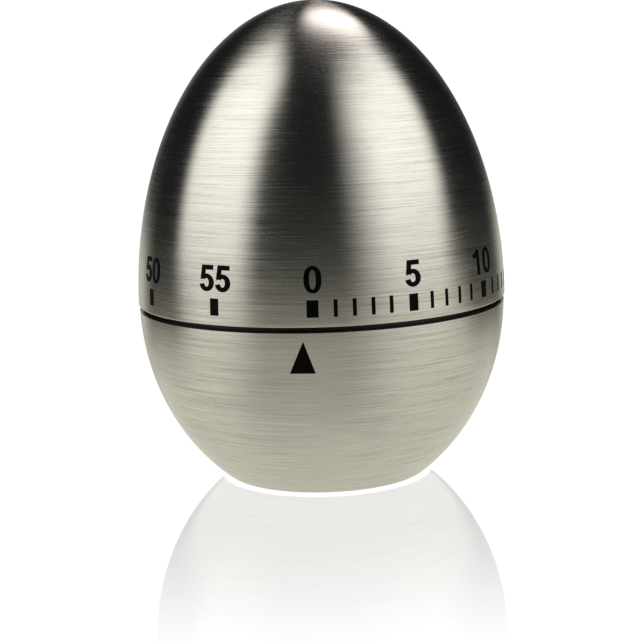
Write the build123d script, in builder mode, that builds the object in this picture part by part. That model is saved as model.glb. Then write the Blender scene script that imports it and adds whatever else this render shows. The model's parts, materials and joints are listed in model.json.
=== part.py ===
"""Egg-shaped 60-minute mechanical kitchen timer, in millimetres.

Two spun steel half shells meet at a seam. The lower one holds a moulded cup with a bell, a
spring-driven movement between two plates and a black collar cover. The upper one is the dial:
it turns on the movement's main arbor, winds the mainspring and is driven back to zero by it.
+Z is up, the origin is on the table under the middle, and the pointer faces -Y.
"""

from build123d import *

import math
import os

# ---- driving dimensions -------------------------------------------------------------------
DIAMETER = 60.0  # widest, at the dial's lower edge
HEIGHT = 77.4  # table to tip
SEAM_Z = 29.4  # lower edge of the dial shell
SEAM_GAP = 0.85  # black line between the shells
STEEL = 0.5  # sheet thickness of both shells
FOOT_LIFT = 0.4  # the steel stands this far off the table, on the rubber ring
SEAM_ROUND = 0.2  # softened lower edge of the dial shell
FOOT_ROUND = 0.8  # rounded edge round the lower shell's base
RUN = 0.05  # radial clearance of a turning fit
PRESS = 0.02  # radial clearance of a pressed fit

# lower shell: an ellipse whose widest level is the dial's lower edge, cut off at the foot
BOWL_R = 29.86
BOWL_DEPTH = 34.75  # its half height
BOWL_TOP = SEAM_Z - SEAM_GAP

# recessed floor of the lower shell, and the cover that fills it
RECESS_R = 14.3
FLOOR_Z = 2.6
COVER_R = 14.0
COVER_BEVEL = 0.3
FOOT_IN, FOOT_OUT = 10.8, 13.2  # rubber ring
FOOT_SINK = 0.7  # depth of its groove in the cover
FOOT_EASE = 0.1  # the groove is this much wider each side
BASE_SCREW_R = 8.0  # circle of the three screws under the base
BASE_SCREW_ANGLES = (90.0, 210.0, 330.0)
BASE_SCREW_HOLE_R = 1.15
SHELL_SCREW_HOLE_R = 1.3
POCKET_R, POCKET_DEPTH = 1.9, 1.1
SOUND_CIRCLE_R, SOUND_HOLE_R, SOUND_HOLES = 4.2, 1.0, 6

# screws
SCREWS = {
    "base_screws": {"head_r": 1.7, "head_h": 0.8, "shank_r": 0.95, "shank_l": 4.4},
    "bell_screw": {"head_r": 2.2, "head_h": 0.9, "shank_r": 0.9, "shank_l": 5.0},
    "movement_screws": {"head_r": 1.9, "head_h": 1.0, "shank_r": 0.9, "shank_l": 5.0},
    "pillar_screws": {"head_r": 1.6, "head_h": 0.8, "shank_r": 0.8, "shank_l": 4.0},
    "cover_screws": {"head_r": 1.6, "head_h": 0.9, "shank_r": 0.8, "shank_l": 5.0},
}
DRIVE_SLOT = 0.35  # width and depth of the cross slots
HOLE_SPARE = 0.3  # blind holes are this much deeper than their screws

# moulded cup
CUP_WALL = 1.3
CUP_FIT = 0.05
CUP_FLOOR = 1.4
CUP_TOP = 27.4
BELL_POST_R = 3.2
BASE_BOSS_R, BASE_BOSS_H = 2.3, 2.0
MOVEMENT_BOSS_R = 2.3
COVER_BOSS_R, COVER_BOSS_Z = 1.9, 19.0
CUP_SOUND_CIRCLE_R, CUP_SOUND_HOLE_R = 4.6, 0.9
MOVEMENT_SCREW_R = 20.8
MOVEMENT_SCREW_ANGLES = (30.0, 165.0, 300.0)
COVER_SCREW_R = 25.4
COVER_SCREW_ANGLES = (70.0, 190.0, 310.0)

# movement plates
PLATE_R = 23.3
LOW_PLATE_Z = 13.8
LOW_PLATE_T = 1.0
HIGH_PLATE_Z = 25.5
HIGH_PLATE_T = 0.8
PLATE_GAP_LOW = LOW_PLATE_Z + LOW_PLATE_T
HIGH_PLATE_TOP = HIGH_PLATE_Z + HIGH_PLATE_T
PILLAR_R = 21.0
PILLAR_ANGLES = (130.0, 240.0, 325.0)
PILLAR_BODY_R, PILLAR_RIVET_R = 1.7, 1.0
PLATE_SCREW_HOLE_R = 1.15
ACCESS_R, ACCESS_EDGE_R, ACCESS_OUT = 2.7, 3.2, 1.12  # openings over the movement screws
WINDOW_R = 3.6
WINDOWS = ((14.0, 105.0), (9.0, 325.0))  # radius and angle of the top plate's round windows
LOW_BUSH_R, HIGH_BUSH_R, BUSH_HEAD_R, BUSH_HEAD_T = 2.2, 3.0, 3.7, 0.5

# bell
BELL_R = 14.5
BELL_Z = 6.9
BELL_TOP = 12.4
BELL_T = 0.8
BELL_SHOULDER = 4.0
BELL_HOLE_R = 1.2
BELL_WASHER_R, BELL_WASHER_T = 3.0, 0.4

# gear train: wheel and pinion tooth counts and modules
PINION_TEETH = 8
FIRST_TEETH, FIRST_MODULE = 64, 0.375
SECOND_TEETH, SECOND_MODULE = 60, 0.3
THIRD_TEETH, THIRD_MODULE = 60, 0.25
ESCAPE_TEETH, ESCAPE_R = 15, 5.0
STAR_TEETH, STAR_R = 12, 4.6
WHEEL_T = 0.7

# levels of the wheels, from their lower faces
SPRING_Z, SPRING_H = 15.1, 2.7
RING_Z, RING_T = 15.6, 1.6
THIRD_Z = 18.1
GREAT_Z = 19.2
ALARM_Z = 21.0
CAM_Z = 22.6
ANCHOR_Z = 23.6
SECOND_Z = 23.9

# main arbor
ARBOR_R = 2.0
ARBOR_TOP = 43.0
LOW_PIVOT_R = 1.0
DRUM_R = 2.9
SHOULDER_R, SHOULDER_H = 4.0, 0.8
FLAT_X = 1.5  # the arbor's flat stands this far from its axis
CAM_R, CAM_T, CAM_HUB_R = 8.0, 0.6, 3.4
NOTCH_FROM, NOTCH_TO, NOTCH_DEPTH = 138.0, 179.0, 1.6
STOP_R = 7.5
STOP_PIN_R = 0.5
STOP_ARM_W, STOP_ARM_T, STOP_HUB_R = 0.9, 0.6, 3.4
STOP_ARM_LIFT = 0.3  # above the top plate
STOP_OVERLAP = 0.8  # the arm reaches this far past the pin
STOP_ANGLE = 60.0

# mainspring
SPRING_FIRST_R, SPRING_HALF_PITCH, SPRING_HALF_TURNS, SPRING_HALF_T = 3.4, 0.4, 14, 0.15
SPRING_POST_R, SPRING_POST_ANGLE, SPRING_EYE_R = 10.6, 270.0, 1.05
POST_FOOT_R, POST_R = 0.6, 0.7

# train arbors
TRAIN_R = 0.6
PIVOT_R = 0.35
END_SHAKE = 0.15
ESCAPE_NECK_R, ESCAPE_NECK_TOP = 0.5, 20.0
HAMMER_ARBOR_R = 0.8

# swinging pieces
PALLET_PIN_R = 0.3
PALLET_CLEAR = 0.4  # the pins stand this far off the tooth tips
PALLET_SPREAD = 40.0
ANCHOR_T, ANCHOR_HUB_R, ANCHOR_ARM_W = 0.6, 1.6, 1.3
VERGE_TAIL = (20.4, 218.0)  # radius and angle of the tail that the lever catches
BALANCE_IN, BALANCE_OUT = 3.7, 5.0
HAMMER_SPAN = 50.0  # from the hammer's arbor round the bell to its head
HEAD_R = 1.5
HEAD_GAP = 0.5
HEAD_BEVEL = 0.3
ROD_Z, ROD_R, ROD_HUB_R = 12.9, 0.5, 1.7
LEVER_PIVOT_R, LEVER_HUB_R, LEVER_T = 0.8, 1.7, 0.6
LEVER_FINGER = (8.65, 172.0)  # radius and angle round the main arbor
LEVER_ELBOW = (18.6, 175.0)
LEVER_TAIL = (19.6, 205.0)
LEVER_TAIL_LIFT, LEVER_TAIL_T = 0.9, 0.5

# dial carrier
COLLAR_R, COLLAR_T, COLLAR_H = 28.3, 1.1, 2.0
COLLAR_COVER_R, COLLAR_COVER_T, COLLAR_HOLE_R = 28.8, 1.2, 3.0
COVER_SLOTS, COVER_SLOT_R, COVER_SLOT_L, COVER_SLOT_W = 8, 14.0, 9.0, 2.2
SKIRT_IN, SKIRT_OUT, SKIRT_Z, SKIRT_RISE = 28.6, 29.3, 29.9, 0.4
HUB_R = 5.5
HUB_Z = 29.0
WEB_Z, WEB_T = 31.8, 1.2
WEB_IN, WEB_OUT, WEB_ARM_W = 8.0, 24.0, 6.0  # the web's windows and the arms between them
CARRIER_RIBS = 6
RIB_OUT, RIB_END_H, RIB_HALF_T = 27.0, 1.5, 0.7


def polar(radius, angle, z=0.0):
    """A point at a radius and an angle in degrees round the egg's axis."""
    turn = math.radians(angle)
    return (radius * math.cos(turn), radius * math.sin(turn), z)


def gap(a, b):
    """Distance between two points in plan."""
    return math.hypot(b[0] - a[0], b[1] - a[1])


def heading(a, b):
    """Direction from a to b in plan, in degrees."""
    return math.degrees(math.atan2(b[1] - a[1], b[0] - a[0]))


def step_angle(r_from, r_to, distance):
    """Angle at the centre between two points at these radii that are this far apart."""
    cosine = (r_from**2 + r_to**2 - distance**2) / (2 * r_from * r_to)
    return math.degrees(math.acos(cosine))


# ---- where the arbors stand ---------------------------------------------------------------
FIRST_CENTRES = (FIRST_TEETH + PINION_TEETH) * FIRST_MODULE / 2
SECOND_CENTRES = (SECOND_TEETH + PINION_TEETH) * SECOND_MODULE / 2
THIRD_CENTRES = (THIRD_TEETH + PINION_TEETH) * THIRD_MODULE / 2
THIRD_RADIUS, ESCAPE_RADIUS, HAMMER_RADIUS = 15.0, 15.5, 16.5
ANCHOR_DISTANCE, HAMMER_DISTANCE = 7.2, 7.4
SECOND_ANGLE, STAR_ANGLE, LEVER_ANGLE = 90.0, 200.0, 140.0

third_angle = SECOND_ANGLE - step_angle(FIRST_CENTRES, THIRD_RADIUS, SECOND_CENTRES)
escape_angle = third_angle - step_angle(THIRD_RADIUS, ESCAPE_RADIUS, THIRD_CENTRES)
anchor_angle = escape_angle - step_angle(ESCAPE_RADIUS, ESCAPE_RADIUS, ANCHOR_DISTANCE)
hammer_angle = STAR_ANGLE + step_angle(FIRST_CENTRES, HAMMER_RADIUS, HAMMER_DISTANCE)

MAIN = (0.0, 0.0, 0.0)
SECOND = polar(FIRST_CENTRES, SECOND_ANGLE)
THIRD = polar(THIRD_RADIUS, third_angle)
ESCAPE = polar(ESCAPE_RADIUS, escape_angle)
ANCHOR = polar(ESCAPE_RADIUS, anchor_angle)
STAR = polar(FIRST_CENTRES, STAR_ANGLE)
HAMMER = polar(HAMMER_RADIUS, hammer_angle)
LEVER = polar(FIRST_CENTRES, LEVER_ANGLE)
HEAD = polar(BELL_R + HEAD_GAP + HEAD_R, hammer_angle + HAMMER_SPAN)
SPRING_POST = polar(SPRING_POST_R, SPRING_POST_ANGLE)

os.makedirs("parts", exist_ok=True)


def level(z, at=MAIN):
    """A horizontal sketch plane at height z, centred over a point."""
    return Plane((at[0], at[1], z))


def drum(radius, z_from, z_to, at=MAIN, mode=Mode.ADD):
    """A plain upright cylinder between two heights."""
    with BuildSketch(level(z_from, at)) as disc:
        Circle(radius)
    extrude(disc.sketch, amount=z_to - z_from, mode=mode)


def ring(outer, inner, z_from, z_to, at=MAIN):
    """An upright tube between two heights."""
    with BuildSketch(level(z_from, at)) as band:
        Circle(outer)
        Circle(inner, mode=Mode.SUBTRACT)
    extrude(band.sketch, amount=z_to - z_from)


# ---- shells -------------------------------------------------------------------------------
def bowl_point(z, inset=0.0):
    """A point of the lower shell's outer surface, moved inwards by inset along its normal."""
    t = (SEAM_Z - z) / BOWL_DEPTH
    share = math.sqrt(1 - t**2)
    radius = BOWL_R * share
    slope = BOWL_R * t / share / BOWL_DEPTH
    length = math.hypot(1, slope)
    return (radius - inset / length, z + inset * slope / length)


def bowl_z(z, inset):
    """Height on the outer surface whose point lies at height z once moved inwards."""
    z_outer = z
    for _ in range(30):
        z_outer += z - bowl_point(z_outer, inset)[1]
    return z_outer


def bowl_curve(z_low, z_high, inset, steps=8):
    """Points up the lower shell's surface between two heights, for one smooth spline."""
    low, high = bowl_z(z_low, inset), bowl_z(z_high, inset)
    return [bowl_point(low + (high - low) * k / steps, inset) for k in range(steps + 1)]


def dome_curve(radius, rise, steps=12):
    """Points up the upper shell's quarter ellipse, from the seam to the tip on the axis."""
    angles = [math.pi / 2 * k / steps for k in range(steps)]
    points = [(radius * math.cos(a), SEAM_Z + rise * math.sin(a)) for a in angles]
    return points + [(0, SEAM_Z + rise)]


def make_top_shell():
    """The upper half ellipsoid, spun from sheet, with a softened lower edge."""
    rise = HEIGHT - SEAM_Z
    outer, inner = DIAMETER / 2, DIAMETER / 2 - STEEL
    with BuildPart() as top_shell:
        with BuildSketch(Plane.XZ) as section:
            with BuildLine():
                Spline(*dome_curve(outer, rise), tangents=[(0, 1), (-1, 0)])
                Line((0, HEIGHT), (0, HEIGHT - STEEL))
                Spline(*dome_curve(inner, rise - STEEL), tangents=[(0, 1), (-1, 0)])
                Line((inner, SEAM_Z), (outer, SEAM_Z))
            make_face()
            fillet(section.vertices().sort_by(Axis.X)[-1], SEAM_ROUND)
        revolve(axis=Axis.Z)
    top_shell.part.label = "top_shell"
    export_step(top_shell.part, "parts/top_shell.step")


def make_bottom_shell():
    """The lower bowl with a standing ring, a recessed floor, screw holes and sound holes."""
    rim_fold = RECESS_R + STEEL
    outer = bowl_curve(FOOT_LIFT, BOWL_TOP, 0)
    inner = bowl_curve(FOOT_LIFT + STEEL, BOWL_TOP, STEEL)
    with BuildPart() as bottom_shell:
        with BuildSketch(Plane.XZ):
            with BuildLine():
                Polyline((0, FLOOR_Z), (RECESS_R, FLOOR_Z), (RECESS_R, FOOT_LIFT), outer[0])
                Spline(*outer)
                Line(outer[-1], inner[-1])
                Spline(*inner)
                Polyline(
                    inner[0],
                    (rim_fold, FOOT_LIFT + STEEL),
                    (rim_fold, FLOOR_Z + STEEL),
                    (0, FLOOR_Z + STEEL),
                    (0, FLOOR_Z),
                )
            make_face()
        revolve(axis=Axis.Z)
        foot = bottom_shell.edges().filter_by(GeomType.CIRCLE).group_by(Axis.Z)[0]
        fillet(foot.sort_by(SortBy.RADIUS)[-1], FOOT_ROUND)
        with BuildSketch(Plane.XY.offset(FLOOR_Z)):
            with PolarLocations(BASE_SCREW_R, 3, start_angle=BASE_SCREW_ANGLES[0]):
                Circle(SHELL_SCREW_HOLE_R)
            with PolarLocations(SOUND_CIRCLE_R, SOUND_HOLES):
                Circle(SOUND_HOLE_R)
        extrude(amount=STEEL, mode=Mode.SUBTRACT)
    bottom_shell.part.label = "bottom_shell"
    export_step(bottom_shell.part, "parts/bottom_shell.step")


# ---- base cover, foot and screws ----------------------------------------------------------
def make_base_cover():
    """The moulded disc in the recess: screw pockets, sound slots and a groove for the foot."""
    with BuildPart() as base_cover:
        drum(COVER_R, FOOT_LIFT, FLOOR_Z)
        chamfer(base_cover.faces().sort_by(Axis.Z)[0].edges(), COVER_BEVEL)
        with BuildSketch(Plane.XY.offset(FOOT_LIFT)):
            Circle(FOOT_OUT + FOOT_EASE)
            Circle(FOOT_IN - FOOT_EASE, mode=Mode.SUBTRACT)
        extrude(amount=FOOT_SINK, mode=Mode.SUBTRACT)
        with BuildSketch(Plane.XY.offset(FOOT_LIFT)):
            with PolarLocations(SOUND_CIRCLE_R, SOUND_HOLES):
                Circle(SOUND_HOLE_R)
        extrude(amount=FLOOR_Z, mode=Mode.SUBTRACT)
        with Locations(Plane.XY.offset(FOOT_LIFT)):
            with PolarLocations(BASE_SCREW_R, 3, start_angle=BASE_SCREW_ANGLES[0]):
                with Locations(Rotation(180, 0, 0)):
                    CounterBoreHole(BASE_SCREW_HOLE_R, POCKET_R, POCKET_DEPTH)
    base_cover.part.label = "base_cover"
    export_step(base_cover.part, "parts/base_cover.step")


def make_foot_ring():
    """The rubber ring that the timer stands on, glued in the cover's groove."""
    with BuildPart() as foot_ring:
        ring(FOOT_OUT, FOOT_IN, 0, FOOT_LIFT + FOOT_SINK)
        standing_edges = foot_ring.faces().sort_by(Axis.Z)[0].edges()
        fillet(standing_edges, 0.25)
    foot_ring.part.label = "foot_ring"
    export_step(foot_ring.part, "parts/foot_ring.step")


def make_screws(name, places, head_z, up):
    """Pan-head screws at several places, as separate solids; up = +1 for a head on top."""
    size = SCREWS[name]
    tip_z = head_z - up * size["shank_l"]
    with BuildPart() as screws:
        for place in places:
            at = (place[0], place[1], 0)
            low, high = sorted((head_z, head_z + up * size["head_h"]))
            drum(size["head_r"], low, high, at)
            drum(size["shank_r"], min(head_z, tip_z), max(head_z, tip_z), at)
            slot_z = high - DRIVE_SLOT if up > 0 else low
            with BuildSketch(level(slot_z, at)):
                Rectangle(2 * size["head_r"], DRIVE_SLOT)
                Rectangle(DRIVE_SLOT, 2 * size["head_r"])
            extrude(amount=DRIVE_SLOT, mode=Mode.SUBTRACT)
    screws.part.label = name
    export_step(screws.part, f"parts/{name}.step")


# ---- moulded cup --------------------------------------------------------------------------
def screw_hole(name, at, head_z, way):
    """A blind hole for a screw whose head bears at head_z; way is -1 down or 1 up."""
    depth = SCREWS[name]["shank_l"] + HOLE_SPARE
    low, high = sorted((head_z, head_z + way * depth))
    drum(SCREWS[name]["shank_r"], low, high, at, Mode.SUBTRACT)


def make_liner_cup():
    """The cup glued inside the lower shell, with bosses for every screw and the bell's post."""
    floor_top = FLOOR_Z + STEEL + CUP_FLOOR
    fit = STEEL + CUP_FIT
    outer = bowl_curve(FLOOR_Z + STEEL, CUP_TOP, fit)
    inner = bowl_curve(floor_top, CUP_TOP, fit + CUP_WALL)
    with BuildPart(mode=Mode.PRIVATE) as cavity:
        with BuildSketch(Plane.XZ):
            with BuildLine():
                Spline(*inner)
                Polyline(inner[-1], (0, CUP_TOP), (0, floor_top), inner[0])
            make_face()
        revolve(axis=Axis.Z)
        drum(BELL_POST_R, floor_top, BELL_TOP - BELL_T - BELL_WASHER_T, mode=Mode.SUBTRACT)
        for angle in BASE_SCREW_ANGLES:
            at = polar(BASE_SCREW_R, angle)
            drum(BASE_BOSS_R, floor_top, floor_top + BASE_BOSS_H, at, Mode.SUBTRACT)
        for angle in MOVEMENT_SCREW_ANGLES:
            at = polar(MOVEMENT_SCREW_R, angle)
            drum(MOVEMENT_BOSS_R, floor_top, LOW_PLATE_Z, at, Mode.SUBTRACT)
        for angle in COVER_SCREW_ANGLES:
            at = polar(COVER_SCREW_R, angle)
            drum(COVER_BOSS_R, COVER_BOSS_Z, CUP_TOP, at, Mode.SUBTRACT)
    with BuildPart() as liner_cup:
        with BuildSketch(Plane.XZ):
            with BuildLine():
                Spline(*outer)
                Polyline(outer[-1], (0, CUP_TOP), (0, FLOOR_Z + STEEL), outer[0])
            make_face()
        revolve(axis=Axis.Z)
        add(cavity.part, mode=Mode.SUBTRACT)
        screw_hole("bell_screw", MAIN, BELL_TOP, -1)
        for angle in BASE_SCREW_ANGLES:
            screw_hole("base_screws", polar(BASE_SCREW_R, angle), FOOT_LIFT + POCKET_DEPTH, 1)
        for angle in MOVEMENT_SCREW_ANGLES:
            screw_hole("movement_screws", polar(MOVEMENT_SCREW_R, angle), PLATE_GAP_LOW, -1)
        for angle in COVER_SCREW_ANGLES:
            screw_hole("cover_screws", polar(COVER_SCREW_R, angle), CUP_TOP + COLLAR_COVER_T, -1)
        with BuildSketch(Plane.XY.offset(FLOOR_Z)):
            with PolarLocations(CUP_SOUND_CIRCLE_R, SOUND_HOLES):
                Circle(CUP_SOUND_HOLE_R)
        extrude(amount=floor_top, mode=Mode.SUBTRACT)
    liner_cup.part.label = "liner_cup"
    export_step(liner_cup.part, "parts/liner_cup.step")


# ---- bell ---------------------------------------------------------------------------------
def make_bell():
    """A pressed steel gong, mouth down, held at its middle."""
    flat_r = BELL_R - 1 - BELL_SHOULDER
    bend_r, bend_z = BELL_R - 0.6, BELL_TOP - 0.8 * BELL_SHOULDER
    with BuildPart() as bell:
        with BuildSketch(Plane.XZ):
            with BuildLine():
                Line((BELL_HOLE_R, BELL_TOP), (flat_r, BELL_TOP))
                Spline(
                    (flat_r, BELL_TOP),
                    (bend_r, bend_z),
                    (BELL_R, BELL_Z),
                    tangents=[(1, 0), (0, -1)],
                )
                Line((BELL_R, BELL_Z), (BELL_R - BELL_T, BELL_Z))
                Spline(
                    (BELL_R - BELL_T, BELL_Z),
                    (bend_r - BELL_T, bend_z - 0.3),
                    (flat_r, BELL_TOP - BELL_T),
                    tangents=[(0, 1), (-1, 0)],
                )
                Polyline(
                    (flat_r, BELL_TOP - BELL_T),
                    (BELL_HOLE_R, BELL_TOP - BELL_T),
                    (BELL_HOLE_R, BELL_TOP),
                )
            make_face()
        revolve(axis=Axis.Z)
    bell.part.label = "bell"
    export_step(bell.part, "parts/bell.step")


def make_bell_washer():
    """The soft washer that lets the bell ring on its post."""
    with BuildPart() as bell_washer:
        under = BELL_TOP - BELL_T
        ring(BELL_WASHER_R, BELL_HOLE_R, under - BELL_WASHER_T, under)
    bell_washer.part.label = "bell_washer"
    export_step(bell_washer.part, "parts/bell_washer.step")


# ---- plates, pillars ----------------------------------------------------------------------
def pivot_holes(z, thickness, holes):
    """Bores for the train's pivots, as (centre, radius) pairs."""
    for at, radius in holes:
        drum(radius, z, z + thickness, at, Mode.SUBTRACT)


def make_plates():
    """The two plates that carry every pivot."""
    train = [(at, PIVOT_R + RUN) for at in (SECOND, THIRD, ESCAPE, ANCHOR, STAR)]
    pillars = [polar(PILLAR_R, angle) for angle in PILLAR_ANGLES]
    screws = [polar(MOVEMENT_SCREW_R, angle) for angle in MOVEMENT_SCREW_ANGLES]
    with BuildPart() as bottom_plate:
        drum(PLATE_R, LOW_PLATE_Z, PLATE_GAP_LOW)
        holes = train + [(MAIN, LOW_BUSH_R), (HAMMER, HAMMER_ARBOR_R + RUN)]
        holes += [(at, PILLAR_RIVET_R) for at in pillars]
        holes += [(at, PLATE_SCREW_HOLE_R) for at in screws]
        holes += [(SPRING_POST, POST_FOOT_R)]
        pivot_holes(LOW_PLATE_Z, LOW_PLATE_T, holes)
    bottom_plate.part.label = "bottom_plate"
    export_step(bottom_plate.part, "parts/bottom_plate.step")
    with BuildPart() as top_plate:
        drum(PLATE_R, HIGH_PLATE_Z, HIGH_PLATE_TOP)
        holes = train + [(MAIN, HIGH_BUSH_R), (HAMMER, PIVOT_R + RUN), (LEVER, POST_R)]
        holes += [(at, SCREWS["pillar_screws"]["shank_r"] + RUN) for at in pillars]
        holes += [(at, ACCESS_R) for at in screws]
        holes += [(polar(STOP_R, STOP_ANGLE), STOP_PIN_R)]
        pivot_holes(HIGH_PLATE_Z, HIGH_PLATE_T, holes)
        with BuildSketch(Plane.XY.offset(HIGH_PLATE_Z)):
            for place in screws:
                with Locations((place[0] * ACCESS_OUT, place[1] * ACCESS_OUT)):
                    Circle(ACCESS_EDGE_R)
            for radius, angle in WINDOWS:
                with Locations(polar(radius, angle)[:2]):
                    Circle(WINDOW_R)
        extrude(amount=HIGH_PLATE_T, mode=Mode.SUBTRACT)
    top_plate.part.label = "top_plate"
    export_step(top_plate.part, "parts/top_plate.step")


def make_pillars():
    """Three turned pillars, riveted below and tapped on top."""
    with BuildPart() as pillars:
        for angle in PILLAR_ANGLES:
            at = polar(PILLAR_R, angle)
            drum(PILLAR_BODY_R, PLATE_GAP_LOW, HIGH_PLATE_Z, at)
            drum(PILLAR_RIVET_R, LOW_PLATE_Z, PLATE_GAP_LOW, at)
            screw_hole("pillar_screws", at, HIGH_PLATE_TOP, -1)
    pillars.part.label = "pillars"
    export_step(pillars.part, "parts/pillars.step")


def make_bushes():
    """Brass bushes of the main arbor, one in each plate."""
    with BuildPart() as arbor_bushes:
        ring(LOW_BUSH_R, LOW_PIVOT_R + RUN, LOW_PLATE_Z, PLATE_GAP_LOW)
        ring(HIGH_BUSH_R, ARBOR_R + RUN, HIGH_PLATE_Z, HIGH_PLATE_TOP)
        ring(BUSH_HEAD_R, ARBOR_R + RUN, HIGH_PLATE_Z - BUSH_HEAD_T, HIGH_PLATE_Z)
    arbor_bushes.part.label = "arbor_bushes"
    export_step(arbor_bushes.part, "parts/arbor_bushes.step")


def make_posts():
    """The fixed posts: mainspring anchor, dial stop and lever pivot."""
    lever_foot, lever_head = CAM_Z - 0.5, CAM_Z - 0.1
    collar_z = HIGH_PLATE_Z - 0.3
    with BuildPart() as spring_post:
        drum(POST_FOOT_R, LOW_PLATE_Z, PLATE_GAP_LOW, SPRING_POST)
        drum(POST_R, PLATE_GAP_LOW, SPRING_Z + SPRING_H + 0.2, SPRING_POST)
    spring_post.part.label = "spring_post"
    export_step(spring_post.part, "parts/spring_post.step")
    with BuildPart() as stop_pin:
        pin_top = HIGH_PLATE_TOP + STOP_ARM_LIFT + STOP_ARM_T + RUN
        drum(STOP_PIN_R, HIGH_PLATE_Z, pin_top, polar(STOP_R, STOP_ANGLE))
    stop_pin.part.label = "stop_pin"
    export_step(stop_pin.part, "parts/stop_pin.step")
    with BuildPart() as lever_post:
        drum(POST_R, HIGH_PLATE_Z, HIGH_PLATE_TOP, LEVER)
        drum(2 * POST_R, collar_z, HIGH_PLATE_Z, LEVER)
        drum(LEVER_PIVOT_R, lever_foot, collar_z, LEVER)
        drum(LEVER_PIVOT_R + 0.5, lever_foot, lever_head, LEVER)
    lever_post.part.label = "lever_post"
    export_step(lever_post.part, "parts/lever_post.step")


# ---- toothed wheels -----------------------------------------------------------------------
def wheel_outline(teeth, module, phase):
    """Clockwork wheel teeth: radial flanks below the pitch circle and pointed arcs above."""
    pitch_r = teeth * module / 2
    root_r, tip_r = pitch_r - 1.3 * module, pitch_r + 1.15 * module
    mid_r, half = pitch_r + 0.6 * module, 0.72 * module
    root = math.degrees(half / pitch_r)
    middle = math.degrees(0.72 * half / mid_r)
    pitch = 360 / teeth
    for k in range(teeth):
        centre = phase + pitch * k
        Line(polar(root_r, centre - root), polar(pitch_r, centre - root))
        ThreePointArc(
            polar(pitch_r, centre - root), polar(mid_r, centre - middle), polar(tip_r, centre)
        )
        ThreePointArc(
            polar(tip_r, centre), polar(mid_r, centre + middle), polar(pitch_r, centre + root)
        )
        Line(polar(pitch_r, centre + root), polar(root_r, centre + root))
        Line(polar(root_r, centre + root), polar(root_r, centre + pitch - root))


def pinion_outline(teeth, module, phase):
    """Pinion leaves: radial flanks and round tips."""
    pitch_r, half = teeth * module / 2, 0.5 * module
    root_r, tip_r = pitch_r - 1.6 * module, pitch_r + half
    root = math.degrees(half / pitch_r)
    pitch = 360 / teeth
    for k in range(teeth):
        centre = phase + pitch * k
        Line(polar(root_r, centre - root), polar(pitch_r, centre - root))
        ThreePointArc(
            polar(pitch_r, centre - root), polar(tip_r, centre), polar(pitch_r, centre + root)
        )
        Line(polar(pitch_r, centre + root), polar(root_r, centre + root))
        Line(polar(root_r, centre + root), polar(root_r, centre + pitch - root))


def pointed_outline(teeth, tip_r, depth, lean, phase):
    """Escape or star teeth: a steep face and a sloping back, or both alike with lean 0.5."""
    pitch = 360 / teeth
    for k in range(teeth):
        start = phase + pitch * k
        tip = start + pitch * lean
        Line(polar(tip_r - depth, start), polar(tip_r, tip))
        Line(polar(tip_r, tip), polar(tip_r - depth, start + pitch))


def spoke_windows(z, thickness, at, inner_r, outer_r, spokes, width):
    """Cuts the windows between a wheel's spokes."""
    with BuildSketch(level(z, at)) as windows:
        Circle(outer_r)
        Circle(inner_r, mode=Mode.SUBTRACT)
        for k in range(spokes):
            turn = 360 * k / spokes
            with Locations(polar(outer_r / 2, turn)[:2]):
                Rectangle(outer_r, width, rotation=turn, mode=Mode.SUBTRACT)
    extrude(windows.sketch, amount=thickness, mode=Mode.SUBTRACT)


def make_wheel(name, outline, at, z, bore, rim_r, spokes, boss=None, thickness=WHEEL_T):
    """A wheel of sheet brass with spokes, a bore and, if given, a boss (radius, z from, z to)."""
    with BuildPart() as wheel:
        with BuildSketch(level(z, at)):
            with BuildLine():
                outline()
            make_face()
        extrude(amount=thickness)
        if spokes:
            spoke_windows(z, thickness, at, bore + 1.6, rim_r, spokes, 1.2)
        if boss:
            drum(boss[0], boss[1], boss[2], at)
        low, high = min(z, boss[1] if boss else z), max(z + thickness, boss[2] if boss else z)
        drum(bore, low, high, at, Mode.SUBTRACT)
    wheel.part.label = name
    export_step(wheel.part, f"parts/{name}.step")


def make_pinion(name, at, z_from, z_to, module, wheel_at, bore=TRAIN_R):
    """A pinion whose gap faces the wheel that drives it."""
    phase = heading(at, wheel_at) + 180 / PINION_TEETH
    with BuildPart() as pinion:
        with BuildSketch(level(z_from, at)):
            with BuildLine():
                pinion_outline(PINION_TEETH, module, phase)
            make_face()
        extrude(amount=z_to - z_from)
        drum(bore, z_from, z_to, at, Mode.SUBTRACT)
    pinion.part.label = name
    export_step(pinion.part, f"parts/{name}.step")


def make_arbor(name, at, radius=TRAIN_R):
    """A train arbor with a thinner pivot at each end."""
    with BuildPart() as arbor:
        drum(PIVOT_R, LOW_PLATE_Z, HIGH_PLATE_TOP, at)
        drum(radius, PLATE_GAP_LOW + END_SHAKE, HIGH_PLATE_Z - END_SHAKE, at)
    arbor.part.label = name
    export_step(arbor.part, f"parts/{name}.step")


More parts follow.
